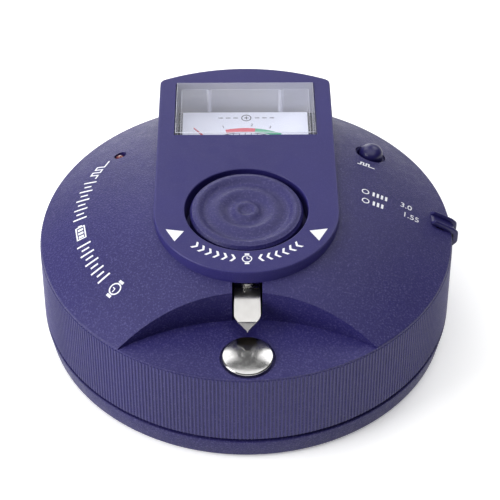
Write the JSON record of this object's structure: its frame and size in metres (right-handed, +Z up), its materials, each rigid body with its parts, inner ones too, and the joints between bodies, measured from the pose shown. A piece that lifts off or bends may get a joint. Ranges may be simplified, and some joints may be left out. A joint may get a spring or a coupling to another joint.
{
  "type": "watch and button cell tester",
  "caption": "Round bench tester for quartz watches and button cells with a domed top, panel meter, ribbed watch pad and sprung cell contact.",
  "frame": {"origin": "centre of the round body at the table, under its rubber feet", "axes": "+Z up through the dome, +Y to the rear where the meter is, +X to the side with the button and the selector"},
  "size_m": [0.104, 0.103, 0.0407],
  "materials": {
    "indigo_textured": "fine spark-eroded texture, fine vertical ribs on the side wall",
    "indigo_satin": "satin",
    "indigo_gloss": "glossy",
    "clear_plastic": "clear, polished",
    "black_plastic": "moulded",
    "dial_white": "printed white card",
    "needle_red": "red lacquer",
    "nickel": "polished nickel plate",
    "nickel_strip": "fine-rolled nickel plate",
    "steel": "zinc-plated",
    "brass": "bare",
    "enamelled_copper": "glossy enamel on copper wire",
    "ferrite": "sintered",
    "red_lens": "clear red epoxy",
    "board_green": "solder mask",
    "resistor_tan": "lacquer",
    "capacitor_sleeve": "shrink sleeve",
    "ceramic_orange": "dipped coating",
    "trimmer_blue": "moulded",
    "plunger_grey": "moulded",
    "battery_jacket": "printed steel can without marks",
    "red_jacket": "soft PVC",
    "black_jacket": "soft PVC",
    "yellow_jacket": "soft PVC",
    "white_jacket": "soft PVC",
    "feet_rubber": "matte"
  },
  "bodies": {
    "housing": {"top_cover": "indigo_textured", "base_shell": "indigo_textured", "watch_platform": "indigo_satin", "sensor_disc": "indigo_satin", "meter_cover": "clear_plastic", "meter_body": "black_plastic", "meter_dial": "dial_white", "meter_magnet": "ferrite", "meter_yoke": "steel", "core_holder": "brass", "meter_bridge": "brass", "hairspring": "brass", "meter_terminals": "nickel_strip", "meter_leads": "yellow_jacket", "meter_clamps": "steel", "meter_screws": "steel", "cell_contact": "nickel", "contact_tag": "nickel_strip", "contact_nut": "nickel_strip", "contact_lead": "white_jacket", "strip_post": "brass", "strip_root": "nickel_strip", "strip_screw": "nickel_strip", "led": "red_lens", "led_legs": "nickel_strip", "coil_bobbin": "black_plastic", "coil_winding": "enamelled_copper", "coil_core": "ferrite", "coil_leads": "enamelled_copper", "circuit_board": "board_green", "ic_chips": "black_plastic", "resistors": "resistor_tan", "electrolytic_capacitors": "capacitor_sleeve", "ceramic_capacitors": "ceramic_orange", "transistors": "black_plastic", "trimmer_pot": "trimmer_blue", "tact_switch": "black_plastic", "slide_switch": "steel", "board_screws": "steel", "platform_screws": "steel", "case_screws": "steel", "battery": "battery_jacket", "battery_terminals": "nickel_strip", "battery_snap": "black_plastic", "red_lead": "red_jacket", "black_lead": "black_jacket", "rubber_feet": "feet_rubber"},
    "pointer": {"meter_needle": "needle_red", "moving_coil": "enamelled_copper", "needle_staff": "steel"},
    "button": {"test_button": "indigo_gloss", "switch_plunger": "plunger_grey"},
    "selector": {"selector_knob": "indigo_satin", "switch_lever": "black_plastic"},
    "strip": {"contact_strip": "nickel_strip"},
    "door": {"battery_door": "indigo_textured", "door_foam": "feet_rubber"}
  },
  "joints": [
    {"name": "needle_swing", "type": "hinge", "parent": "housing", "child": "pointer", "pos_m": [0, 0.0135, 0.0342], "axis": [0, 0, -1], "range_deg": [0, 74], "stiffness_Nm_per_rad": 0.00001},
    {"name": "button_press", "type": "slide", "parent": "housing", "child": "button", "axis": [0, 0, -1], "range_m": [0, 0.0008], "stiffness_N_per_m": 900},
    {"name": "selector_slide", "type": "slide", "parent": "housing", "child": "selector", "axis": [0, 1, 0], "range_m": [-0.0015, 0.0015]},
    {"name": "strip_flex", "type": "hinge", "parent": "housing", "child": "strip", "pos_m": [0, -0.0284, 0.03371], "axis": [1, 0, 0], "range_deg": [-12, 14], "stiffness_Nm_per_rad": 0.06},
    {"name": "door_open", "type": "hinge", "parent": "housing", "child": "door", "pos_m": [0, 0.00855, 0.0016], "axis": [-1, 0, 0], "range_deg": [0, 100]}
  ]
}
